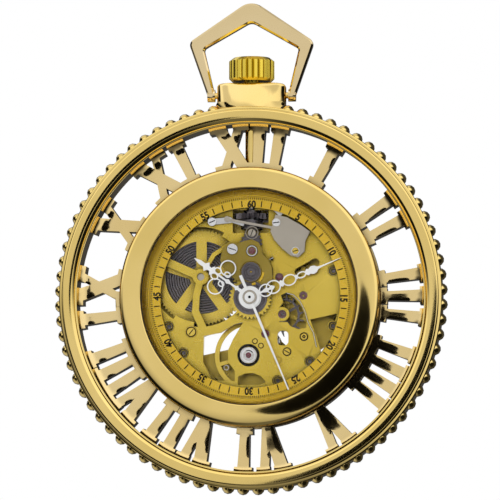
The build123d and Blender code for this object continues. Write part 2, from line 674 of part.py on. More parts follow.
ratchet = toothed(RATCHET_TEETH, WINDING_MODULE, ratchet_phase) - Circle(0.41)
save("ratchet_wheel", raised(Pos(*BARREL) * ratchet, -3.74, -3.5), disc(1.1, -3.98, -3.76, BARREL))

crown_wheel = toothed(CROWN_WHEEL_TEETH, WINDING_MODULE, crown_wheel_phase) - Circle(0.62)
save("crown_wheel", raised(Pos(*CROWN_WHEEL) * crown_wheel, -3.74, -3.5))

pinion = raised(toothed(WINDING_TEETH, WINDING_MODULE * 0.97, 9), 9.5, 10.15)
pinion += disc(0.95, 10.14, 10.6)
save("winding_pinion", along_stem(pinion - disc(STEM_RADIUS + 0.02, 9, 11)))

CLUTCH_GROOVE_Y = 8.78
clutch = disc(1.3, 8.3, 8.6) + disc(0.95, 8.59, 8.97) + disc(1.3, 8.96, 9.35)
save("sliding_clutch", along_stem(clutch - disc(0.44, 7, 10)))

LEVER_PIVOT = (2.1, GROOVE_Y + 0.45)
lever_outline = bar(LEVER_PIVOT, (0.0, GROOVE_Y), 0.7) + bar(LEVER_PIVOT, (3.5, 10.1), 0.6)
lever = raised(lever_outline, 0.04, 0.24) - disc(0.22, -1, 1, LEVER_PIVOT)
lever += disc(0.18, -1.22, 0.05, (0.0, GROOVE_Y))
save("setting_lever", lever)

YOKE_PIVOT = (-4.6, 9.1)
YOKE_FINGER = (-0.95, CLUTCH_GROOVE_Y)
yoke_outline = bar(YOKE_PIVOT, (-2.5, 9.3), 0.7) + bar((-2.5, 9.3), YOKE_FINGER, 0.36)
yoke = raised(yoke_outline, 0.04, 0.24) - disc(0.22, -1, 1, YOKE_PIVOT)
yoke += disc(0.13, -0.95, 0.05, YOKE_FINGER)
save("yoke", yoke)

click_pivot = on_circle(250, 5.75, BARREL)
click_tip = on_circle(228, 5.12, BARREL)
click_outline = bar(click_pivot, click_tip, 0.5) + Pos(*click_pivot) * Circle(0.5)
click = raised(click_outline, -3.74, -3.5) - disc(0.24, -4, 0, click_pivot)
save("click", click)

spring_foot = on_circle(212, 6.3, BARREL)
click_spring = raised(bar(spring_foot, on_circle(231, 5.8, BARREL), 0.12), -3.7, -3.52)
click_spring += disc(0.45, -3.7, -3.41, spring_foot)
save("click_spring", click_spring)

# ---------------------------------------------------------------- main plate and its windows

barrel_window = Pos(*BARREL) * Circle(5.45)
for first, last in ((62, 118), (185, 238), (262, 318)):
    teeth_gap = [on_circle(angle, 5.98, BARREL) for angle in range(first, last + 1, 4)]
    barrel_window += polygon(BARREL, *teeth_gap)
STRUTS = [
    (BARREL, (-11.2, 4.9), 0.95),
    (BARREL, (-6.5, 0.2), 0.8),
    ((-6.5, 0.2), (-6.6, -1.6), 0.8),
    ((-6.6, -1.6), (-5.6, -3.8), 0.9),
    (BARREL, (-4.4, 5.2), 0.5),
    ((-4.4, 5.2), (-2.2, 6.6), 0.5),
]
for start, end, width in STRUTS:
    barrel_window -= bar(start, end, width)
barrel_window -= Pos(*BARREL) * Circle(0.95)
left_window = polygon((-5.6, -4.5), (-3.6, -4.1), (-1.9, -3.1), (-0.9, -2.9), (-1.5, -3.9), (-2.1, -4.9),
                      (-2.7, -6.2), (-2.7, -7.6), (-1.9, -8.7), (-1.9, -9.9), (-4.6, -9.8), (-5.7, -7.6))
escape_window = polygon((3.6, 0.3), (4.3, 0.65), (5.2, 0.0), (6.1, -1.15), (6.7, -2.6), (6.6, -3.6),
                        (5.6, -3.75), (4.7, -3.35), (4.4, -2.9), (3.45, -2.9), (3.4, -1.2), (3.9, -0.5))
side_window = polygon((7.1, -2.6), (10.3, -1.9), (9.6, -4.6), (8.4, -6.5), (7.8, -4.6))
pallet_window = Pos(3.84, -4.8) * RectangleRounded(1.3, 1.75, 0.5)
oblong_window = bar((5.75, 3.05), (7.7, 4.15), 1.05)
bottom_window = polygon((-1.55, -10.35), (-1.5, -9.4), (-0.7, -9.0), (0.3, -8.95), (1.2, -9.3), (1.75, -9.9),
                        (1.85, -10.35))
top_window = Pos(0, 9.12) * Rectangle(4.3, 2.76) + Pos(0.17, 7.75) * Circle(0.95)
lever_slot = Pos(0, 11.6) * Rectangle(1.0, 2.4)
hook_hole = Pos(2.5, 4.64) * Circle(0.32)
edge_holes = [Pos(*on_circle(angle, 10.35)) * Circle(0.67) for angle in (18, 341, 313, 288, 199, 219)]
openings = [barrel_window, left_window, escape_window, side_window, pallet_window, oblong_window,
            bottom_window, top_window, lever_slot, hook_hole, *edge_holes]

plate_outline = Circle(PLATE_RADIUS)
for opening in openings:
    plate_outline -= opening
for at in (THIRD, FOURTH, ESCAPE, PALLET):
    plate_outline += Pos(*at) * Circle(0.85)
    plate_outline -= Pos(*at) * Circle(0.5)
plate_outline -= Circle(0.4)
plate_outline -= Pos(*BARREL) * Circle(0.44)
plate_outline += Pos(*BALANCE) * Circle(2.1)
plate_outline -= Pos(*BALANCE) * Circle(0.95)
main_plate = raised(plate_outline, PLATE_BACK, 0)
main_plate += disc(0.2, -0.5, 0.6, MINUTE) + disc(0.36, -0.5, 0.32, SETTING)
save("main_plate", main_plate)

jewel_sketch = Circle(0.49) - Circle(0.14)
jewels = [raised(Pos(*at) * jewel_sketch, -0.75, -0.3) for at in (THIRD, FOURTH, ESCAPE, PALLET)]


def shock_setting(low, high):
    body = Pos(*BALANCE) * (Circle(0.93) - Circle(0.14))
    return raised(body, low, high)


# ---------------------------------------------------------------- bridges

PILLAR_FEET = {
    "barrel": [(-4.6, 10.2), (3.1, 10.6), (-10.3, -4.6)],
    "train": [(9.6, 5.6), (10.6, -2.8), (6.2, -5.6)],
    "balance": [(-4.9, -10.0), (-7.6, -8.0)],
    "pallet": [(-0.6, -3.2), (4.1, -6.3)],
}


def bridge(outline, low, high, feet, foot_radius):
    body = raised(outline, low, high)
    for foot in feet:
        body += disc(foot_radius, low, PLATE_BACK - 0.01, foot)
    for foot in feet:
        body -= disc(foot_radius * 0.36, low - 1, 0, foot)
    return body


inside_plate = Circle(PLATE_RADIUS - 0.15)
barrel_bridge = polygon((-12.3, -5.6), (-9.4, -5.7), (-5.4, -4.3), (-3.4, -3.6), (-3.2, -2.0), (-3.9, 1.0),
                        (0.5, 4.0), (3.4, 5.6), (4.9, 12.3), (-12.3, 12.3)) & inside_plate
barrel_bridge -= Circle(4.1)
barrel_bridge -= Pos(0, 9.8) * Rectangle(4.3, 1.1)
barrel_bridge -= Pos(*BARREL) * Circle(0.44)
barrel_plate = bridge(barrel_bridge, -3.4, -2.95, PILLAR_FEET["barrel"], 0.85)
barrel_plate += ring(0.6, 0.2, -3.76, -3.39, CROWN_WHEEL)
save("barrel_bridge", barrel_plate)

train_bridge = polygon((-1.3, -1.3), (-1.3, 1.2), (2.0, 4.8), (8.6, 7.8), (11.4, 4.4), (12.3, -2.6),
                       (10.4, -4.4), (6.8, -7.0), (5.0, -5.8), (4.8, -3.4), (2.4, -2.9)) & inside_plate
train_bridge -= Pos(*BARREL) * Circle(5.15)
train_bridge -= Pos(*CROWN_WHEEL) * Circle(2.95)
train_bridge -= Circle(0.4)
for at in (THIRD, FOURTH, ESCAPE):
    train_bridge -= Pos(*at) * Circle(0.5)
save("train_bridge", bridge(train_bridge, -3.75, -3.25, PILLAR_FEET["train"], 0.85))

jewels += [raised(Pos(*at) * jewel_sketch, -3.65, -3.3) for at in (THIRD, FOURTH, ESCAPE)]
jewels.append(raised(Pos(*PALLET) * (Circle(0.39) - Circle(0.14)), -1.74, -1.56))
save("jewels", *jewels)

cock = polygon((-8.6, -8.0), (-6.6, -6.8), (-1.2, -5.6), (0.7, -5.9), (2.5, -8.3), (2.5, -12.0),
               (-2.6, -12.0), (-3.6, -11.4), (-6.2, -10.2))
cock = (cock + Pos(*BALANCE) * Circle(1.6)) & inside_plate
cock -= Pos(*BALANCE) * Circle(0.95)
save("balance_cock", bridge(cock, -3.75, -3.25, PILLAR_FEET["balance"], 0.75))

pallet_bridge = bar(PILLAR_FEET["pallet"][0], PALLET, 1.1) + bar(PALLET, PILLAR_FEET["pallet"][1], 1.1)
pallet_bridge -= Pos(*PALLET) * Circle(0.4)
save("pallet_bridge", bridge(pallet_bridge, -1.75, -1.55, PILLAR_FEET["pallet"], 0.45))

save("shock_settings", shock_setting(-0.85, 0.05), shock_setting(-3.95, -3.27))

regulator = Pos(*BALANCE) * (Circle(1.45) - Circle(0.96)) + strip((-0.26, -8.2), (-0.26, -10.3), 0.4)
regulator += strip((-0.26, -5.5), (-0.26, -4.4), 0.55)
save("regulator", raised(regulator, -3.93, -3.77))
save("hairspring_stud", disc(0.2, -3.24, -2.65, on_circle(0, 2.43, BALANCE)))

# ---------------------------------------------------------------- dial-side covers and screws

COVER_SCREWS = [(-2.12, 5.78)]
motion_cover = polygon((-3.6, 4.5), (-3.3, 5.9), (-2.6, 6.65), (-1.55, 6.4), (-0.8, 6.75), (0.15, 6.95),
                       (1.0, 6.6), (1.35, 5.85), (1.5, 5.15), (2.2, 4.5), (2.6, 3.6), (2.65, 2.2), (2.3, 1.2),
                       (-1.76, 2.1), (-2.5, 2.9), (-3.3, 3.6))
motion_cover -= Pos(*MINUTE) * Circle(1.3)
motion_cover -= Circle(2.0)
for at in COVER_SCREWS:
    motion_cover -= Pos(*at) * Circle(0.3)
save("motion_cover", raised(motion_cover, 0.62, 0.74))

SPRING_SCREWS = [(5.38, 5.54), (3.1, 8.95)]
spring_plate = polygon((3.0, 9.9), (4.3, 9.6), (6.0, 8.65), (7.1, 7.85), (6.55, 6.75), (6.45, 5.5),
                       (5.7, 4.8), (4.8, 5.0), (3.75, 5.9), (2.85, 6.9), (2.4, 7.9))
spring_plate += bar((-2.7, 9.35), (2.6, 8.35), 0.3)
spring_plate += Pos(-2.8, 9.4) * Circle(0.35)
for at in SPRING_SCREWS:
    spring_plate -= Pos(*at) * Circle(0.25)
save("setting_lever_spring", raised(spring_plate, 0.3, 0.46))


def screw(at, head, shank, seat, head_height, length):
    """A cheese-head screw with a slot. Its head stands on the seat on the side of head_height's sign."""
    side = 1 if head_height > 0 else -1
    top = seat + head_height
    end = seat - side * length
    body = disc(head, min(seat, top), max(seat, top), at)
    body += disc(shank, min(seat, end), max(seat, end), at)
    slot = block(at[0] - head, at[0] + head, at[1] - head * 0.12, at[1] + head * 0.12,
                 min(top, top - head_height * 0.45), max(top, top - head_height * 0.45))
    return body - slot


bridge_screws = []
for name, head, shank, seat in (("barrel", 0.6, 0.28, -3.41), ("train", 0.6, 0.28, -3.76),
                                ("balance", 0.55, 0.25, -3.76), ("pallet", 0.36, 0.14, -1.76)):
    for foot in PILLAR_FEET[name]:
        bridge_screws.append(screw(foot, head, shank, seat, -0.22, -0.97 - seat - 0.02))
bridge_screws.append(screw(CROWN_WHEEL, 0.95, 0.18, -3.77, -0.18, 0.4))
save("bridge_screws", *bridge_screws)

dial_screws = [screw(at, 0.62, 0.22, 0.75, 0.22, 0.74) for at in COVER_SCREWS]
dial_screws += [screw(at, 0.48, 0.2, 0.47, 0.2, 0.46) for at in SPRING_SCREWS]
dial_screws += [disc(0.2, 0.01, 0.27, LEVER_PIVOT), screw(YOKE_PIVOT, 0.5, 0.2, 0.26, 0.2, 0.25)]
save("dial_side_screws", *dial_screws)
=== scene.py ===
import math

import bmesh
import bpy
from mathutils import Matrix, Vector


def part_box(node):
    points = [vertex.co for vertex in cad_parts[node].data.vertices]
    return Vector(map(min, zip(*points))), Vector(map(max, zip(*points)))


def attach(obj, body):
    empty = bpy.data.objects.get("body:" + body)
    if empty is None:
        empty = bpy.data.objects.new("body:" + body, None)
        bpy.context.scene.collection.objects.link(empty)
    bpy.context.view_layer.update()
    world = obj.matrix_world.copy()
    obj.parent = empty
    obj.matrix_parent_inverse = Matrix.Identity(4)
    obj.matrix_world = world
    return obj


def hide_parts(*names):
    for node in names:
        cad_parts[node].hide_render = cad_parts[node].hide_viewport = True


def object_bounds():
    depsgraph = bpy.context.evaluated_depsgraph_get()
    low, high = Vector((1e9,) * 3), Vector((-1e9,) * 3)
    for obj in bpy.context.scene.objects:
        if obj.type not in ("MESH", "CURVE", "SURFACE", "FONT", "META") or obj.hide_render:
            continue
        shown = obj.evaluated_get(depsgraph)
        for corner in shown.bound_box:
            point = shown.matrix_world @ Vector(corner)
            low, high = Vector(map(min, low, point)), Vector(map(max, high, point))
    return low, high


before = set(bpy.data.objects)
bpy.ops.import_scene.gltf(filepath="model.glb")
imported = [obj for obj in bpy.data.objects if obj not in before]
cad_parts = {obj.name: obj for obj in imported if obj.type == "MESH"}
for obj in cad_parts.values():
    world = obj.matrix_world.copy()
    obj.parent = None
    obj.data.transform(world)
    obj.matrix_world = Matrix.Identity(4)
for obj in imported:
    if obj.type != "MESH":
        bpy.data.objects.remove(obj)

cad_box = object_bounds()

# ------------------------------------------------------------------ where things are

MM = 0.001
PLATE_THICKNESS = 0.95
case_low, case_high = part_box("mid_case")
DIAL_X = (case_low.x + case_high.x) / 2
DIAL_Z = (case_low.z + case_high.z) / 2
PLATE_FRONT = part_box("main_plate")[1].y - PLATE_THICKNESS * MM


def at(x, y, z):
    """Watch millimetres to the shared frame.

    x goes right, y to 12 o'clock and z to the viewer, from the front of the main plate.
    """
    return Vector((DIAL_X + x * MM, PLATE_FRONT - z * MM, DIAL_Z + y * MM))


def level(y):
    """A y of the shared frame as watch millimetres in front of the main plate."""
    return (PLATE_FRONT - y) / MM


def front_of(node):
    return level(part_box(node)[0].y)


def back_of(node):
    return level(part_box(node)[1].y)


def half_width(node):
    low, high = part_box(node)
    return (high.x - low.x) / 2 / MM


def polar(clock, radius):
    """The (x, y) at a clock angle, in degrees from 12 o'clock."""
    turn = math.radians(clock)
    return radius * math.sin(turn), radius * math.cos(turn)


# ------------------------------------------------------------------ materials


def new_material(name):
    material = bpy.data.materials.new(name)
    material.use_nodes = True
    nodes = material.node_tree.nodes
    return material, nodes, material.node_tree.links, nodes["Principled BSDF"]


def drifting_noise(nodes, links, scale, detail=4.0, stretch=None):
    """A noise value that stays with the piece when it moves."""
    coordinates = nodes.new("ShaderNodeTexCoord")
    noise = nodes.new("ShaderNodeTexNoise")
    noise.inputs["Scale"].default_value = scale
    noise.inputs["Detail"].default_value = detail
    source = coordinates.outputs["Object"]
    if stretch:
        mapping = nodes.new("ShaderNodeMapping")
        mapping.inputs["Scale"].default_value = stretch
        links.new(source, mapping.inputs["Vector"])
        source = mapping.outputs["Vector"]
    links.new(source, noise.inputs["Vector"])
    return noise.outputs["Fac"]


def colour_ramp(nodes, links, value, *stops):
    """A value as a colour, between two (value, colour) stops."""
    ramp = nodes.new("ShaderNodeValToRGB")
    for element, (position, colour) in zip(ramp.color_ramp.elements, stops):
        element.position = position
        element.color = (*colour, 1)
    links.new(value, ramp.inputs["Fac"])
    return ramp.outputs["Color"]


# The noise mostly stays between these two values.
NOISE_LOW = 0.35
NOISE_HIGH = 0.65


def drifting_colour(nodes, links, scale, low, high):
    """A colour that drifts between two tones."""
    noise = drifting_noise(nodes, links, scale)
    return colour_ramp(nodes, links, noise, (NOISE_LOW, low), (NOISE_HIGH, high))


# Painted shade in inner corners: how far the occlusion test reaches, and the occlusion values at
# which the colour is darkest and at which it is its own.
CORNER_REACH = 0.0015
CORNER_SHUT = 0.3
CORNER_OPEN = 0.9


def corner_tone(nodes, links, tone, corners):
    """Painted shade: darkens a colour to a share of itself, corners, where the surface is hemmed
    in.
    """
    depth = nodes.new("ShaderNodeAmbientOcclusion")
    depth.samples = 8
    depth.inputs["Distance"].default_value = CORNER_REACH
    shade = colour_ramp(nodes, links, depth.outputs["AO"],
                        (CORNER_SHUT, (corners,) * 3), (CORNER_OPEN, (1, 1, 1)))
    product = nodes.new("ShaderNodeVectorMath")
    product.operation = "MULTIPLY"
    links.new(tone, product.inputs[0])
    links.new(shade, product.inputs[1])
    return product.outputs["Vector"]


def add_bump(nodes, links, shader, height, strength, distance, under=None):
    """Lifts a surface by a height value, over the normal that is under it."""
    bump = nodes.new("ShaderNodeBump")
    bump.inputs["Strength"].default_value = strength
    bump.inputs["Distance"].default_value = distance
    links.new(height, bump.inputs["Height"])
    if under is not None:
        links.new(under, bump.inputs["Normal"])
    links.new(bump.outputs["Normal"], shader.inputs["Normal"])
    return bump.outputs["Normal"]


TONE_SCALE = 90
GLOSS_SCALE = 270
GLOSS_RANGE = (0.95, 1.3)
GRAIN_HEIGHT = 0.00002
GRAIN_DETAIL = 6.0
RIPPLE_DETAIL = 0.0


def metal(name, low, high, roughness, grain=0.0, grain_scale=900, stretch=None, corners=1.0,
          ripple=0.0, ripple_scale=200):
    """Polished or brushed metal: tone and gloss drift over it, and a fine grain lifts the surface.

    grain is the strength of the grain. corners below 1 paints shade into the inner corners: the
    colour darkens to that share where the surface is hemmed in. ripple is the height, in metres, of
    the slow waves that casting and hand polishing leave.
    """
    material, nodes, links, shader = new_material(name)
    shader.inputs["Metallic"].default_value = 1.0
    tone = drifting_colour(nodes, links, TONE_SCALE, low, high)
    if corners < 1:
        tone = corner_tone(nodes, links, tone, corners)
    links.new(tone, shader.inputs["Base Color"])
    smooth, rough = [(roughness * share,) * 3 for share in GLOSS_RANGE]
    gloss = drifting_colour(nodes, links, GLOSS_SCALE, smooth, rough)
    links.new(gloss, shader.inputs["Roughness"])
    waves = None
    if ripple:
        slow = drifting_noise(nodes, links, ripple_scale, RIPPLE_DETAIL)
        waves = add_bump(nodes, links, shader, slow, 1.0, ripple)
    if grain:
        fine = drifting_noise(nodes, links, grain_scale, GRAIN_DETAIL, stretch)
        add_bump(nodes, links, shader, fine, grain, GRAIN_HEIGHT, waves)
    return material


# Metals below with corners under 1 have shade painted into their inner corners.
CASE_GOLD = metal("case_gold", (0.84, 0.62, 0.20), (0.92, 0.69, 0.25), 0.06, 0.01, 300)
NUMERAL_GOLD = metal("numeral_gold", (0.84, 0.63, 0.27), (0.90, 0.70, 0.34), 0.07,
                     corners=0.1, ripple=0.00006, ripple_scale=300)
BOW_GOLD = metal("bow_gold", (0.80, 0.62, 0.32), (0.88, 0.70, 0.40), 0.07, ripple=0.0003)
PENDANT_GOLD = metal("pendant_gold", (0.84, 0.62, 0.22), (0.92, 0.70, 0.30), 0.06,
                     ripple=0.006, ripple_scale=150)
CROWN_GOLD = metal("crown_gold", (0.92, 0.67, 0.07), (0.99, 0.76, 0.12), 0.2, 0.05, 900,
                   corners=0.3)
PLATE_GOLD = metal("plate_gold", (0.57, 0.41, 0.055), (0.66, 0.49, 0.085), 0.24, 0.2, 2500,
                   corners=0.04)
# The bridges are the plate's gilt brass made darker: painted shade for the lower level seen through
# the plate's windows.
SHADED_BRIDGE_GOLD = metal("bridge_gold_painted_shade", (0.40, 0.29, 0.05), (0.50, 0.37, 0.08), 0.26, 0.2, 2500,
                    corners=0.05)
COVER_GOLD = metal("cover_gold", (0.30, 0.22, 0.04), (0.38, 0.28, 0.06), 0.32, 0.25, 2500,
                   corners=0.3)
WHEEL_GOLD = metal("wheel_gold", (0.56, 0.40, 0.06), (0.72, 0.54, 0.11), 0.22, 0.2, 2500,
                   corners=0.15)
DIAL_GOLD = metal("dial_gold", (0.62, 0.40, 0.035), (0.70, 0.47, 0.055), 0.24, 0.08, 3000,
                  corners=0.5)
STEEL = metal("steel", (0.50, 0.50, 0.50), (0.62, 0.62, 0.62), 0.25, 0.25, 1800,
              stretch=(1, 1, 12))
POLISHED_STEEL = metal("polished_steel", (0.62, 0.62, 0.62), (0.76, 0.75, 0.74), 0.2, 0.1, 1500)
WARM_STEEL = metal("warm_steel", (0.40, 0.36, 0.30), (0.50, 0.46, 0.39), 0.3, 0.1, 1500)
# Dark steel for the small steel parts. The same material also paints shade: the floors of the edge
# holes and the floor under the winding parts.
DARK_STEEL_AND_SHADE = metal("dark_steel_and_painted_shade", (0.11, 0.10, 0.11), (0.20, 0.18, 0.19), 0.35, 0.2, 2000)
SILVER = metal("silver_white", (0.84, 0.84, 0.83), (0.93, 0.93, 0.92), 0.3, 0.1, 2500)


PLAIN_TONE_SCALE = 200


def plain_surface(name, low, high, roughness):
    """A surface that isn't metal: its tone drifts a little."""
    material, nodes, links, shader = new_material(name)
    tone = drifting_colour(nodes, links, PLAIN_TONE_SCALE, low, high)
    links.new(tone, shader.inputs["Base Color"])
    shader.inputs["Roughness"].default_value = roughness
    return material, shader


# Black ink for the printing. The same material also paints shade: the lines round recesses and the
# screw slots.
INK_AND_SHADE, ink_and_shade_shader = plain_surface("black_ink_and_painted_shade", (0.004, 0.004, 0.003), (0.012, 0.011, 0.010), 0.5)
ink_and_shade_shader.inputs["Specular IOR Level"].default_value = 0.12
RUBBER, _ = plain_surface("seal_rubber", (0.010, 0.010, 0.010), (0.022, 0.022, 0.022), 0.6)
RUBY, ruby_shader = plain_surface("ruby", (0.09, 0.006, 0.012), (0.17, 0.010, 0.025), 0.06)
ruby_shader.inputs["Coat Weight"].default_value = 1.0


def glass_material():
    """Clear crystal that bends light only a little, so that the movement stays bright behind it."""
    material, _, _, shader = new_material("crystal")
    shader.inputs["Base Color"].default_value = (1, 1, 1, 1)
    shader.inputs["Roughness"].default_value = 0.0
    shader.inputs["IOR"].default_value = 1.12
    shader.inputs["Transmission Weight"].default_value = 1.0
    return material


CRYSTAL = glass_material()

NODE_MATERIALS = {
    "outer_rim": CASE_GOLD, "outer_bezel": CASE_GOLD, "front_bezel": CASE_GOLD,
    "mid_case": CASE_GOLD, "back_cover": CASE_GOLD, "pendant_sleeve": CASE_GOLD,
    "numeral_ring": NUMERAL_GOLD, "pendant": PENDANT_GOLD,
    "bow": BOW_GOLD, "bow_pins": CASE_GOLD, "crown": CROWN_GOLD,
    "front_crystal": CRYSTAL, "rear_crystal": CRYSTAL, "crystal_gaskets": RUBBER,
    "movement_holder": DIAL_GOLD, "chapter_ring": DIAL_GOLD,
    "main_plate": PLATE_GOLD, "barrel_bridge": SHADED_BRIDGE_GOLD, "train_bridge": SHADED_BRIDGE_GOLD,
    "balance_cock": SHADED_BRIDGE_GOLD, "pallet_bridge": SHADED_BRIDGE_GOLD, "motion_cover": COVER_GOLD,
    "barrel": WHEEL_GOLD, "barrel_cover": WHEEL_GOLD, "center_wheel": WHEEL_GOLD,
    "third_wheel": WHEEL_GOLD, "sweep_driver_wheel": WHEEL_GOLD, "fourth_wheel": WHEEL_GOLD,
    "minute_wheel": WHEEL_GOLD, "hour_wheel": WHEEL_GOLD, "balance_wheel": WHEEL_GOLD,
    "setting_lever_spring": WARM_STEEL, "barrel_arbor": WARM_STEEL,
    "winding_pinion": DARK_STEEL_AND_SHADE, "sliding_clutch": DARK_STEEL_AND_SHADE, "crown_wheel": DARK_STEEL_AND_SHADE,
    "setting_wheel": DARK_STEEL_AND_SHADE, "mainspring": DARK_STEEL_AND_SHADE, "escape_wheel": DARK_STEEL_AND_SHADE,
    "hairspring": DARK_STEEL_AND_SHADE,
    "dial_side_screws": POLISHED_STEEL, "bridge_screws": POLISHED_STEEL,
    "casing_screws": POLISHED_STEEL, "shock_settings": POLISHED_STEEL,
    "hour_hand": SILVER, "minute_hand": SILVER, "seconds_hand": SILVER, "jewels": RUBY,
}
# The width of the softened edges, in millimetres.
BEVELS = {
    "main_plate": 0.1, "barrel_bridge": 0.08, "train_bridge": 0.08, "balance_cock": 0.08,
    "motion_cover": 0.06, "setting_lever_spring": 0.04, "bow": 0.34, "pendant": 0.3,
    "numeral_ring": 0.05, "mid_case": 0.05,
}
BEVEL_SEGMENTS = 3
BEVEL_ANGLE = math.radians(40)
WELD_DISTANCE = 1e-6
CREASE = math.radians(25)
BEVELLED_CREASE = math.radians(36)


def dress(node, thing):
    """Gives a CAD node its material, softened edges, crisp creases and even shading.

    The weld comes first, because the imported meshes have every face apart.
    """
    thing.data.materials.clear()
    thing.data.materials.append(NODE_MATERIALS.get(node, STEEL))
    weld = thing.modifiers.new("weld", "WELD")
    weld.merge_threshold = WELD_DISTANCE
    thing.data.shade_smooth()
    if node in BEVELS:
        bevel = thing.modifiers.new("bevel", "BEVEL")
        bevel.width = BEVELS[node] * MM
        bevel.segments = BEVEL_SEGMENTS
        bevel.limit_method = "ANGLE"
        bevel.angle_limit = BEVEL_ANGLE
    split = thing.modifiers.new("creases", "EDGE_SPLIT")
    split.split_angle = BEVELLED_CREASE if node in BEVELS else CREASE
    split.use_edge_sharp = False
    even = thing.modifiers.new("even_shading", "WEIGHTED_NORMAL")
    even.keep_sharp = True


for node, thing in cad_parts.items():
    dress(node, thing)

# ------------------------------------------------------------------ pieces drawn here


def new_piece(name, mesh_maker, material, body, smooth=30):
    """Makes one mesh piece that rides on a body.

    mesh_maker fills a bmesh in the shared frame. Edges sharper than smooth, in degrees, stay crisp.
    """
    mesh = bpy.data.meshes.new(name)
    shape = bmesh.new()
    mesh_maker(shape)
    bmesh.ops.recalc_face_normals(shape, faces=shape.faces)
    shape.to_mesh(mesh)
    shape.free()
    mesh.materials.append(material)
    mesh.shade_smooth()
    mesh.set_sharp_from_angle(angle=math.radians(smooth))
    piece = bpy.data.objects.new(name, mesh)
    bpy.context.scene.collection.objects.link(piece)
    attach(piece, body)
    return piece


def add_lathe(shape, profile, x=0.0, y=0.0, steps=48, first=0.0, last=360.0):
    """Turns a closed (radius, z) profile about the dial's normal through (x, y).

    first and last are clock angles, for a part of a turn.
    """
    whole = abs(last - first) > 359.9
    count = steps if whole else steps + 1
    rings = []
    for i in range(count):
        clock = first + (last - first) * i / steps
        side, up = polar(clock, 1)
        rings.append([shape.verts.new(at(x + side * r, y + up * r, z)) for r, z in profile])
    for i in range(steps):
        here = rings[i]
        following = rings[(i + 1) % count]
        for j in range(len(profile)):
            k = (j + 1) % len(profile)
            shape.faces.new((here[j], here[k], following[k], following[j]))
    if not whole:
        shape.faces.new(rings[0])
        shape.faces.new(list(reversed(rings[-1])))


def square_ring(outer, inner, low, high, soften=0.0):
    """A closed lathe profile for a flat ring. soften cuts back its front edges."""
    if not soften:
        return [(inner, low), (outer, low), (outer, high), (inner, high)]
    return [(inner, low), (outer, low), (outer, high - soften), (outer - soften, high),
            (inner + soften, high), (inner, high - soften)]


# A disc is a ring whose hole is too small to see.
DISC_HOLE = 0.0001


def disc(radius, low, high, soften=0.0):
    return square_ring(radius, DISC_HOLE, low, high, soften)


def add_prism(shape, points, low, high):
    """A straight-sided plate from (x, y) points."""
    bottom = [shape.verts.new(at(x, y, low)) for x, y in points]
    top = [shape.verts.new(at(x, y, high)) for x, y in points]
    shape.faces.new(bottom)
    shape.faces.new(list(reversed(top)))
    for i in range(len(points)):
        j = (i + 1) % len(points)
        shape.faces.new((bottom[i], bottom[j], top[j], top[i]))


def add_radial_bar(shape, clock, inner, outer, width, low, high):
    """A bar that points away from the dial's centre."""
    side, up = polar(clock, 1)
    across = (up * width / 2, -side * width / 2)
    points = [(side * r + across[0] * s, up * r + across[1] * s)
              for r, s in ((inner, -1), (outer, -1), (outer, 1), (inner, 1))]
    add_prism(shape, points, low, high)


# The beaded rim: a plain hoop with a row of barrel-shaped beads sunk into it. There are no beads
# under the pendant.
RIM_TIP = half_width("outer_rim")
RIM_HOOP = RIM_TIP - 0.65
RIM_TOP = front_of("outer_rim")
RIM_BOTTOM = back_of("outer_rim")
RIM_INSIDE = half_width("numeral_ring") + 0.02
BEADS = 80
PLAIN_ARC = 10.5
BEAD_HALF_LENGTH = 1.55
BEAD_HALF_DEPTH = 0.83
BEAD_HALF_WIDTH = 0.78
BEAD_ROWS = 8
BEAD_SIDES = 12
BEAD_MIDDLE = RIM_TOP - BEAD_HALF_LENGTH - 0.05
BEAD_RADIUS = RIM_TIP - BEAD_HALF_DEPTH
ROUND_STEPS = 180


def add_bead(shape, clock):
    side, up = polar(clock, 1)
    rows = []
    for i in range(1, BEAD_ROWS):
        lean = math.radians(-90 + i * 180 / BEAD_ROWS)
        height = BEAD_MIDDLE + BEAD_HALF_LENGTH * math.sin(lean)
        ring = []
        for j in range(BEAD_SIDES):
            turn = math.radians(j * 360 / BEAD_SIDES)
            radius = BEAD_RADIUS + BEAD_HALF_DEPTH * math.cos(lean) * math.cos(turn)
            across = BEAD_HALF_WIDTH * math.cos(lean) * math.sin(turn)
            ring.append(shape.verts.new(at(side * radius + up * across,
                                           up * radius - side * across, height)))
        rows.append(ring)
    for low, high in zip(rows, rows[1:]):
        for j in range(BEAD_SIDES):
            k = (j + 1) % BEAD_SIDES
            shape.faces.new((low[j], low[k], high[k], high[j]))
    for ring, end in ((rows[0], -1), (rows[-1], 1)):
        tip = shape.verts.new(at(side * BEAD_RADIUS, up * BEAD_RADIUS,
                                 BEAD_MIDDLE + BEAD_HALF_LENGTH * end))
        for j in range(BEAD_SIDES):
            shape.faces.new((ring[j], ring[(j + 1) % BEAD_SIDES], tip))


def draw_rim(shape):
    profile = [(RIM_INSIDE, RIM_BOTTOM), (RIM_HOOP - 0.25, RIM_BOTTOM),
               (RIM_HOOP, RIM_BOTTOM + 0.25), (RIM_HOOP, RIM_TOP - 0.22),
               (RIM_HOOP - 0.06, RIM_TOP - 0.08), (RIM_HOOP - 0.2, RIM_TOP), (RIM_INSIDE, RIM_TOP)]
    add_lathe(shape, profile, steps=ROUND_STEPS)
    for i in range(BEADS):
        clock = (i + 0.5) * 360 / BEADS
        if PLAIN_ARC < clock < 360 - PLAIN_ARC:
            add_bead(shape, clock)


rim = new_piece("beaded_rim", draw_rim, CASE_GOLD, "case", 50)
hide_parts("outer_rim")

DOME_STEPS = 8


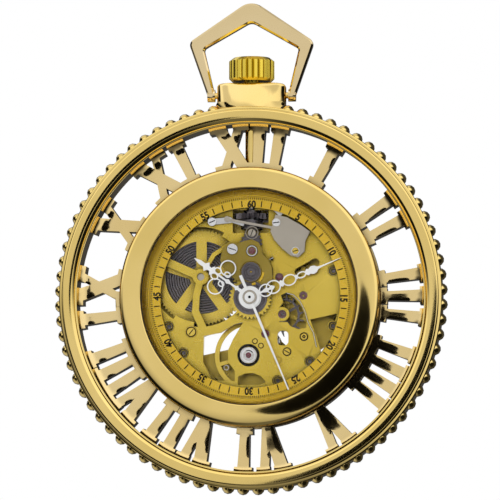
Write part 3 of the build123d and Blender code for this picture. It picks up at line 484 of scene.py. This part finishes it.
def domed_profile(start, base, leans):
    """A closed lathe profile with a curved front, down to base at its foot.

    leans holds (radius, degrees) pairs: how far the front leans outwards at each radius.
    """
    radius, height = start
    top = [(radius, height)]
    for (r0, lean0), (r1, lean1) in zip(leans, leans[1:]):
        step = (r1 - r0) / DOME_STEPS
        for i in range(DOME_STEPS):
            lean = lean0 + (lean1 - lean0) * (i + 0.5) / DOME_STEPS
            radius += step
            height -= step * math.tan(math.radians(lean))
            top.append((radius, height))
    return [(start[0], base), *top, (radius, base)]


def crested(profile, crest):
    """Shifts the front of a profile so that its highest point is at crest."""
    shift = crest - max(z for _, z in profile)
    return [profile[0]] + [(r, z + shift) for r, z in profile[1:-1]] + [profile[-1]]


BEZEL_INSIDE = half_width("front_crystal") + 0.12
BEZEL_OUTSIDE = half_width("front_bezel")
BEZEL_LEANS = [
    (BEZEL_INSIDE, -68), (BEZEL_INSIDE + 0.07, -35), (BEZEL_INSIDE + 0.16, 1.5),
    (BEZEL_OUTSIDE - 0.5, 11.5), (BEZEL_OUTSIDE - 0.2, 35), (BEZEL_OUTSIDE, 72),
]
BEZEL_START = 3.0


def draw_bezel(shape):
    profile = domed_profile((BEZEL_INSIDE, BEZEL_START), back_of("front_bezel"), BEZEL_LEANS)
    add_lathe(shape, crested(profile, front_of("front_bezel")), steps=ROUND_STEPS)


bezel = new_piece("polished_bezel", draw_bezel, CASE_GOLD, "case", 60)
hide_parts("front_bezel")

BAND_OUTSIDE = half_width("outer_bezel")
BAND_INSIDE = BAND_OUTSIDE - 1.75
BAND_LEANS = [
    (BAND_INSIDE, -20), (BAND_INSIDE + 0.12, -12), (BAND_INSIDE + 0.2, -46),
    (BAND_INSIDE + 0.6, -30), (BAND_INSIDE + 0.66, -11), (BAND_INSIDE + 0.95, -4),
    (BAND_INSIDE + 1.02, 0.5), (BAND_OUTSIDE - 0.24, 2.5), (BAND_OUTSIDE - 0.23, 17),
    (BAND_OUTSIDE - 0.08, 42), (BAND_OUTSIDE, 74),
]
BAND_START = 1.6
BAND_UNDERCUT = 0.35


def draw_band(shape):
    profile = domed_profile((BAND_INSIDE, BAND_START), back_of("outer_bezel"), BAND_LEANS)
    profile = crested(profile, front_of("outer_bezel"))
    profile[0] = (BAND_INSIDE + BAND_UNDERCUT, profile[0][1])
    add_lathe(shape, profile, steps=ROUND_STEPS)


band = new_piece("polished_band", draw_band, CASE_GOLD, "case", 60)
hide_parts("outer_bezel")

# The printing on the chapter ring: minute lines, a row of fine marks outside them, and numbers.
CHAPTER_TOP = 0.75
DIAL_TWIST = 0.9
PRINT_LOW = CHAPTER_TOP - 0.002
PRINT_HIGH = CHAPTER_TOP + 0.012
MINUTES = 60
MINUTE_LINE = (10.85, 11.55, 0.125)
FINE_MARKS = 300
FINE_MARK = (11.70, 11.95, 0.1)
NUMBERS = 12
NUMBER_RADIUS = 11.15
NUMBER_SIZE = 1.16
NUMBER_WEIGHT = 0.05
NUMBER_NARROWING = 0.86
NUMBER_LIFT = 0.004
NUMBER_FLATTENING = 0.25


def draw_ticks(shape):
    for minute in range(MINUTES):
        if minute % 5:
            add_radial_bar(shape, minute * 360 / MINUTES + DIAL_TWIST, *MINUTE_LINE, PRINT_LOW,
                           PRINT_HIGH)
    for mark in range(FINE_MARKS):
        add_radial_bar(shape, mark * 360 / FINE_MARKS, *FINE_MARK, PRINT_LOW, PRINT_HIGH)


def number_object(number):
    """A thickened text object that says the number."""
    curve = bpy.data.curves.new("number", "FONT")
    curve.body = str(number)
    curve.align_x = "CENTER"
    curve.align_y = "CENTER"
    curve.size = NUMBER_SIZE
    curve.bevel_depth = NUMBER_WEIGHT
    curve.bevel_resolution = 0
    text = bpy.data.objects.new("number", curve)
    bpy.context.scene.collection.objects.link(text)
    bpy.context.view_layer.update()
    return text


def middle_of(values):
    return (min(values) + max(values)) / 2


def add_number(shape, number, clock):
    """Prints a number with its top away from the dial's centre."""
    text = number_object(number)
    curve = text.data
    flat = text.to_mesh()
    middle_x = middle_of([vertex.co.x for vertex in flat.vertices])
    middle_y = middle_of([vertex.co.y for vertex in flat.vertices])
    side, up = polar(clock, 1)
    made = []
    for vertex in flat.vertices:
        across = (vertex.co.x - middle_x) * NUMBER_NARROWING
        out = NUMBER_RADIUS + vertex.co.y - middle_y
        height = CHAPTER_TOP + NUMBER_LIFT + vertex.co.z * NUMBER_FLATTENING
        made.append(shape.verts.new(at(side * out + up * across, up * out - side * across, height)))
    for face in flat.polygons:
        shape.faces.new([made[index] for index in face.vertices])
    text.to_mesh_clear()
    bpy.data.objects.remove(text)
    bpy.data.curves.remove(curve)


def draw_numbers(shape):
    for i in range(NUMBERS):
        number = i * MINUTES // NUMBERS or MINUTES
        add_number(shape, number, i * 360 / NUMBERS + DIAL_TWIST)


new_piece("minute_track", draw_ticks, INK_AND_SHADE, "case")
new_piece("minute_numbers", draw_numbers, INK_AND_SHADE, "case")

# Turned steps that climb from the chapter ring to the crystal.
REHAUT_RADIUS = 12.06
REHAUT_FOOT = 0.76
REHAUT_STEPS = 4
REHAUT_TREAD = 0.22
REHAUT_RISE = 0.16


def draw_rehaut(shape):
    for i in range(REHAUT_STEPS):
        inner = REHAUT_RADIUS + REHAUT_TREAD * i
        high = REHAUT_FOOT + REHAUT_RISE * (i + 1)
        low = high - REHAUT_RISE - 0.03
        ring = square_ring(inner + REHAUT_TREAD, inner, low, high + 0.01, 0.03)
        add_lathe(shape, ring, steps=144)


new_piece("rehaut_rings", draw_rehaut, DIAL_GOLD, "case")

# Where the small details on the dial side sit, in watch millimetres.
MINUTE_AXIS = (0.09, 3.06)
BALANCE_AXIS = (-0.26, -6.82)
COVER_JEWEL = (0.2, 5.57)
THIRD_JEWEL = (3.42, 2.46)
BARREL_SCREW = (-7.12, -4.02)
TRAIN_SCREW = (4.32, -6.42)
RINGED_SCREW = (6.35, -4.64)
SPRING_LOW_SCREW = (5.38, 5.54)
YOKE_PIVOT = (-4.6, 9.1)
COVER_SCREW = (-2.12, 5.78)
SPRING_HIGH_SCREW = (3.1, 8.95)
RECESS_SCREW = (0.17, 7.75)
SMALL_PINS = [(0.5, -5.16), (1.22, -5.69)]
LOWER_PIN = (-2.9, -8.3)
EDGE_HOLE_RADIUS = 10.35
EDGE_HOLES = [polar(clock, EDGE_HOLE_RADIUS) for clock in (72, -251, -223, -198, -109, -129)]
COARSE_STEPS = 24
FINE_STEPS = 32
CAP_STEPS = 48

# Liners in the half-hidden holes round the edge of the plate, and rims on three plain holes.
PLAIN_HOLES = [(*BARREL_SCREW, 0.74), (3.25, -7.4, 0.45), (2.5, 4.64, 0.36)]


def draw_liners(shape):
    for hole in EDGE_HOLES:
        add_lathe(shape, square_ring(0.66, 0.5, -0.9, -0.12, 0.04), *hole, FINE_STEPS)
        add_lathe(shape, square_ring(0.4, 0.26, -1.0, -0.3, 0.04), *hole, FINE_STEPS)
    for x, y, radius in PLAIN_HOLES:
        add_lathe(shape, square_ring(radius, radius - 0.13, -0.02, 0.05, 0.03), x, y, FINE_STEPS)


new_piece("hole_liners", draw_liners, WHEEL_GOLD, "case")


# Painted shade: dark discs close the bottoms of the edge holes, so that the holes look dark.
def draw_hole_floors(shape):
    for hole in EDGE_HOLES:
        add_lathe(shape, disc(0.64, -0.95, -0.9), *hole, COARSE_STEPS)


new_piece("hole_floors", draw_hole_floors, DARK_STEEL_AND_SHADE, "case")

# Small gold screw heads: place, radius, height.
GOLD_SCREWS = [
    (BARREL_SCREW, 0.52, 0.03), (TRAIN_SCREW, 0.42, 0.06), (RINGED_SCREW, 0.4, 0.05),
    (SPRING_LOW_SCREW, 0.4, 0.68), (SMALL_PINS[0], 0.26, 0.03), (SMALL_PINS[1], 0.26, 0.03),
]


def draw_gold_screws(shape):
    for place, radius, z in GOLD_SCREWS:
        add_lathe(shape, disc(radius, z - 0.08, z + 0.05, 0.04), *place, FINE_STEPS)


new_piece("gold_screw_heads", draw_gold_screws, WHEEL_GOLD, "case")

# Dark lines round screws and jewels, where a recess lies in shadow: place, radius, height, width.
RECESS_LINES = [
    (BARREL_SCREW, 0.62, 0.012, 0.09), (TRAIN_SCREW, 0.52, 0.012, 0.09),
    (RINGED_SCREW, 0.52, 0.012, 0.11), (RINGED_SCREW, 0.2, 0.105, 0.12),
    (BALANCE_AXIS, 1.34, 0.012, 0.34), (SMALL_PINS[0], 0.34, 0.012, 0.06),
    (SMALL_PINS[1], 0.34, 0.012, 0.06), (BALANCE_AXIS, 0.62, 0.075, 0.12),
    (COVER_JEWEL, 0.72, 0.752, 0.1),
]


def draw_recess_lines(shape):
    for place, radius, z, width in RECESS_LINES:
        add_lathe(shape, square_ring(radius, radius - width, z - 0.02, z), *place, FINE_STEPS)


new_piece("recess_lines", draw_recess_lines, INK_AND_SHADE, "case")


def draw_setting(shape):
    """The springs of the balance's shock setting: two outer arcs and an open inner ring."""
    arc = square_ring(1.02, 0.86, 0.02, 0.16, 0.04)
    add_lathe(shape, arc, *BALANCE_AXIS, 40, 20, 160)
    add_lathe(shape, arc, *BALANCE_AXIS, 40, 200, 340)
    add_lathe(shape, square_ring(0.62, 0.44, 0.04, 0.2, 0.05), *BALANCE_AXIS, 36, 60, 330)


new_piece("shock_springs", draw_setting, POLISHED_STEEL, "case")


def draw_cap_jewels(shape):
    for place, radius, z in ((BALANCE_AXIS, 0.36, 0.12), (COVER_JEWEL, 0.4, 0.79),
                             (THIRD_JEWEL, 0.42, -0.05)):
        profile = [(DISC_HOLE, z - 0.15), (radius, z - 0.15), (radius, z),
                   (radius * 0.7, z + 0.05), (DISC_HOLE, z + 0.07)]
        add_lathe(shape, profile, *place, FINE_STEPS)


new_piece("cap_jewels", draw_cap_jewels, RUBY, "case")


def draw_jewel_rims(shape):
    add_lathe(shape, square_ring(0.66, 0.5, 0.74, 0.84, 0.04), *COVER_JEWEL, 36)
    add_lathe(shape, square_ring(0.34, 0.22, -0.2, 0.1, 0.04), *LOWER_PIN, COARSE_STEPS)


new_piece("jewel_rims", draw_jewel_rims, POLISHED_STEEL, "case")


def draw_minute_cap(shape):
    """The dark turned cap over the minute wheel."""
    add_lathe(shape, disc(1.2, 0.62, 0.7, 0.04), *MINUTE_AXIS, CAP_STEPS)
    add_lathe(shape, square_ring(0.95, 0.78, 0.69, 0.78, 0.05), *MINUTE_AXIS, CAP_STEPS)
    add_lathe(shape, square_ring(0.62, 0.48, 0.69, 0.78, 0.05), *MINUTE_AXIS, CAP_STEPS)


new_piece("minute_wheel_cap", draw_minute_cap, DARK_STEEL_AND_SHADE, "minute_wheel")


def draw_minute_rim(shape):
    """The cap's gold rim and middle."""
    add_lathe(shape, square_ring(1.27, 1.17, 0.6, 0.76, 0.04), *MINUTE_AXIS, CAP_STEPS)
    add_lathe(shape, disc(0.12, 0.69, 0.82, 0.04), *MINUTE_AXIS, COARSE_STEPS)


new_piece("minute_wheel_rim", draw_minute_rim, WHEEL_GOLD, "minute_wheel")

HAND_TOP = front_of("seconds_hand")


def draw_hub(shape):
    """Turned rings on the hub of the hands."""
    add_lathe(shape, square_ring(0.84, 0.60, HAND_TOP - 0.2, HAND_TOP - 0.1, 0.04), steps=CAP_STEPS)
    add_lathe(shape, square_ring(0.42, 0.17, HAND_TOP - 0.06, HAND_TOP - 0.005, 0.03),
              steps=CAP_STEPS)


new_piece("hub_rings", draw_hub, WARM_STEEL, "seconds")


def draw_hub_centre(shape):
    add_lathe(shape, disc(0.16, HAND_TOP - 0.3, HAND_TOP - 0.02), steps=COARSE_STEPS)


new_piece("hub_centre", draw_hub_centre, INK_AND_SHADE, "seconds")


def draw_hour_well(shape):
    """The dark dish under the hub. It stays behind the minute wheel's cap."""
    add_lathe(shape, square_ring(2.02, 0.8, 0.55, 0.59, 0.02), steps=64)
    add_lathe(shape, square_ring(1.75, 1.6, 0.58, 0.7, 0.04), steps=64)


new_piece("hour_wheel_well", draw_hour_well, DARK_STEEL_AND_SHADE, "hour")


def draw_recess_screw(shape):
    add_lathe(shape, disc(0.5, 0.32, 0.46, 0.05), *RECESS_SCREW, FINE_STEPS)
    add_lathe(shape, square_ring(0.8, 0.66, 0.3, 0.4, 0.04), *RECESS_SCREW, FINE_STEPS)


new_piece("recess_screw", draw_recess_screw, WARM_STEEL, "case")

# Painted shade: a dark floor under the winding parts, so that the recess looks dark and doesn't
# show daylight.
KEYLESS_FLOOR_OUTLINE = [(-2.7, 9.0), (2.7, 9.0), (2.5, 10.75), (-2.5, 10.75)]
KEYLESS_FLOOR = (-3.3, -3.0)


def draw_keyless_floor(shape):
    add_prism(shape, KEYLESS_FLOOR_OUTLINE, *KEYLESS_FLOOR)


new_piece("keyless_floor", draw_keyless_floor, DARK_STEEL_AND_SHADE, "case")

# Screw slots as thin black bars on the heads, painted shade for the cuts: place, half length,
# height, the clock angle across the slot.
SLOTS = [
    (RECESS_SCREW, 0.46, 0.47, 20), (BARREL_SCREW, 0.4, 0.09, 40), (TRAIN_SCREW, 0.34, 0.12, 120),
    (SPRING_LOW_SCREW, 0.32, 0.74, 75), (YOKE_PIVOT, 0.4, 0.475, 65),
    (COVER_SCREW, 0.5, 0.985, 110), (SPRING_LOW_SCREW, 0.38, 0.685, 30),
    (SPRING_HIGH_SCREW, 0.38, 0.685, 80),
]
SLOT_HALF_WIDTH = 0.05


def draw_slots(shape):
    for (x, y), length, z, turn in SLOTS:
        side, up = polar(turn, 1)
        points = [(x + side * a + up * b, y + up * a - side * b)
                  for a, b in ((-length, -SLOT_HALF_WIDTH), (length, -SLOT_HALF_WIDTH),
                               (length, SLOT_HALF_WIDTH), (-length, SLOT_HALF_WIDTH))]
        add_prism(shape, points, z - 0.02, z)


new_piece("screw_slots", draw_slots, INK_AND_SHADE, "case")


def draw_bright_arcs(shape):
    """Two cut edges on the cover, beside the minute wheel's cap, drawn as thin arcs in a brighter
    gold: a painted highlight for their shine.
    """
    arc = square_ring(1.62, 1.32, 0.76, 0.8, 0.02)
    add_lathe(shape, arc, *MINUTE_AXIS, 16, 92, 138)
    add_lathe(shape, arc, *MINUTE_AXIS, 8, 158, 176)


new_piece("cover_painted_highlights", draw_bright_arcs, DIAL_GOLD, "case")

# A bent wire spring in the window over the escapement.
WIRE_PATH = [
    (4.3, 0.55), (5.1, 0.35), (5.9, -0.45), (6.5, -1.7), (6.85, -3.0), (7.5, -4.2), (7.85, -5.9),
]
WIRE_RADIUS = 0.06
WIRE_HEIGHT = 0.07
WIRE_SIDES = 8


def draw_wire(shape):
    rings = []
    for i, (x, y) in enumerate(WIRE_PATH):
        before = WIRE_PATH[max(i - 1, 0)]
        after = WIRE_PATH[min(i + 1, len(WIRE_PATH) - 1)]
        length = math.hypot(after[0] - before[0], after[1] - before[1])
        across = ((after[1] - before[1]) / length, (before[0] - after[0]) / length)
        ring = []
        for j in range(WIRE_SIDES):
            turn = math.radians(j * 360 / WIRE_SIDES)
            out = WIRE_RADIUS * math.cos(turn)
            ring.append(shape.verts.new(at(x + across[0] * out, y + across[1] * out,
                                           WIRE_HEIGHT + WIRE_RADIUS * math.sin(turn))))
        rings.append(ring)
    for here, following in zip(rings, rings[1:]):
        for j in range(WIRE_SIDES):
            k = (j + 1) % WIRE_SIDES
            shape.faces.new((here[j], here[k], following[k], following[j]))
    shape.faces.new(rings[0])
    shape.faces.new(list(reversed(rings[-1])))


new_piece("wire_spring", draw_wire, POLISHED_STEEL, "case", 80)

# ------------------------------------------------------------------ stage, camera and light


PAINT_ROUGHNESS = 0.9


def flat_paint(name, colour):
    material, _, _, shader = new_material(name)
    shader.inputs["Base Color"].default_value = (*colour, 1)
    shader.inputs["Roughness"].default_value = PAINT_ROUGHNESS
    return material


def stage_plane(name, middle, size, material):
    """A level square of the stage."""
    mesh = bpy.data.meshes.new(name)
    half = size / 2
    corners = [(-half, -half, 0), (half, -half, 0), (half, half, 0), (-half, half, 0)]
    mesh.from_pydata(corners, [], [(0, 1, 2, 3)])
    plane = bpy.data.objects.new(name, mesh)
    plane.location = middle
    mesh.materials.append(material)
    bpy.context.scene.collection.objects.link(plane)
    return plane


FLOOR_PAINT = flat_paint("floor_paint", (0.90, 0.90, 0.89))
FLOOR_SIZE = 6
FLOOR_DROP = 0.016
floor = stage_plane("floor", (0, 0, cad_box[0].z - FLOOR_DROP), FLOOR_SIZE, FLOOR_PAINT)
floor.visible_glossy = False

# The camera leans from the dial's normal. A picture is FRAME_MM wide at the dial.
CAMERA_DISTANCE = 0.5
CAMERA_TILT = 6.25
CAMERA_CLOCK = 133.7
FRAME_MM = 59.6
FRAME_CENTRE = at(-0.09, 5.73, 0)
SENSOR_WIDTH = 36
CLIP_START = 0.01


def direction(clock, tilt):
    """A direction that leans by tilt degrees from the dial's normal, towards a clock angle."""
    side, up = polar(clock, math.sin(math.radians(tilt)))
    return Vector((side, -math.cos(math.radians(tilt)), up))


camera_data = bpy.data.cameras.new("camera")
camera = bpy.data.objects.new("camera", camera_data)
bpy.context.scene.collection.objects.link(camera)
camera.location = FRAME_CENTRE + direction(CAMERA_CLOCK, CAMERA_TILT) * CAMERA_DISTANCE
aim = FRAME_CENTRE - camera.location
camera.rotation_euler = aim.to_track_quat("-Z", "Y").to_euler()
camera_data.sensor_width = SENSOR_WIDTH
camera_data.lens = SENSOR_WIDTH * CAMERA_DISTANCE / (FRAME_MM * MM)
camera_data.clip_start = CLIP_START
bpy.context.scene.camera = camera

# Brightness of the tent, below and above. Behind the watch it is dark.
TENT_LIGHT = (0.8, 1.25)
TENT_FADE = 0.9
REAR_FADE = (-0.15, 0.35)
REAR_BRIGHTNESS = 0.06
# Darker patches: clock, tilt, radius, width of the soft edge (all in degrees), brightness.
STUDIO_PATCHES = [
    (335, 112, 36, 24, 0.85),
    (225, 116, 36, 26, 0.55),
    (313, 14, 34, 22, 0.78),
    (180, 62, 40, 26, 0.16),
    (234, 64, 36, 20, 0.01),
    (128, 86, 44, 16, 0.01),
    (281, 105, 26, 10, 0.01),
]
# The light that reaches the movement through the crystal: from this direction, fading away from it.
KEY_DIRECTION = (325, 38)
KEY_FADE = (-0.15, 0.95, 0.12, 1.0)
# Rays that leave the crystals almost straight ahead see the plain backdrop.
STRAIGHT_THROUGH = (0.85, 0.93)
BACKDROP = 1.0


def studio_world():
    """A white tent round the watch, with darker patches. The camera itself sees plain white."""
    world = bpy.data.worlds.new("studio")
    world.use_nodes = True
    nodes = world.node_tree.nodes
    links = world.node_tree.links
    coordinates = nodes.new("ShaderNodeTexCoord")

    def towards(vector):
        """1 in a direction, 0 across it, -1 away from it."""
        product = nodes.new("ShaderNodeVectorMath")
        product.operation = "DOT_PRODUCT"
        links.new(coordinates.outputs["Generated"], product.inputs[0])
        product.inputs[1].default_value = vector
        return product.outputs["Value"]

    def remap(value, low, high, to_low, to_high):
        step = nodes.new("ShaderNodeMapRange")
        step.interpolation_type = "SMOOTHSTEP"
        links.new(value, step.inputs["Value"])
        limits = {"From Min": low, "From Max": high, "To Min": to_low, "To Max": to_high}
        for name, number in limits.items():
            step.inputs[name].default_value = number
        return step.outputs["Result"]

    def mixed(base, share, value):
        """Blends a value, which is a number or a socket, into base by a share."""
        blend = nodes.new("ShaderNodeMix")
        links.new(share, blend.inputs["Factor"])
        links.new(base, blend.inputs["A"])
        if isinstance(value, float):
            blend.inputs["B"].default_value = value
        else:
            links.new(value, blend.inputs["B"])
        return blend.outputs["Result"]

    def combined(operation, first, second):
        node = nodes.new("ShaderNodeMath")
        node.operation = operation
        links.new(first, node.inputs[0])
        links.new(second, node.inputs[1])
        return node.outputs["Value"]

    seen = nodes.new("ShaderNodeLightPath")
    through_glass = seen.outputs["Is Transmission Ray"]
    light = remap(towards((0, 0, 1)), -TENT_FADE, TENT_FADE, *TENT_LIGHT)
    light = mixed(light, remap(towards((0, 1, 0)), *REAR_FADE, 0, 1), REAR_BRIGHTNESS)
    for clock, tilt, radius, edge, brightness in STUDIO_PATCHES:
        near = math.cos(math.radians(radius - edge / 2))
        far = math.cos(math.radians(radius + edge / 2))
        inside = remap(towards(direction(clock, tilt)), far, near, 0, 1)
        light = mixed(light, inside, brightness)
    key = remap(towards(direction(*KEY_DIRECTION)), *KEY_FADE)
    light = mixed(light, through_glass, key)
    straight = combined("MULTIPLY", through_glass,
                        remap(towards((0, 1, 0)), *STRAIGHT_THROUGH, 0, 1))
    direct = combined("MAXIMUM", seen.outputs["Is Camera Ray"], straight)
    light = mixed(light, direct, BACKDROP)
    background = nodes["Background"]
    background.inputs["Color"].default_value = (1, 1, 1, 1)
    links.new(light, background.inputs["Strength"])
    bpy.context.scene.world = world


studio_world()
bpy.context.scene.view_settings.view_transform = "Standard"

LENS_CARD_RADIUS = 0.108
LENS_CARD_SHIFT = 0.046
LENS_CARD_BEHIND = 0.01
LENS_CARD_SIDES = 64
CARD_PAINT = flat_paint("card_paint", (0.004, 0.004, 0.004))


def lens_card():
    """The dark round card that the camera looks through. It is only seen as a reflection."""
    mesh = bpy.data.meshes.new("lens_card")
    shape = bmesh.new()
    bmesh.ops.create_circle(shape, cap_ends=True, radius=LENS_CARD_RADIUS, segments=LENS_CARD_SIDES)
    shape.to_mesh(mesh)
    shape.free()
    mesh.materials.append(CARD_PAINT)
    card = bpy.data.objects.new("lens_card", mesh)
    shift = direction(CAMERA_CLOCK, 90) * LENS_CARD_SHIFT
    card.location = camera.location - aim.normalized() * LENS_CARD_BEHIND + shift
    card.rotation_euler = camera.rotation_euler
    bpy.context.scene.collection.objects.link(card)
    card.visible_camera = False
    card.visible_transmission = False


lens_card()
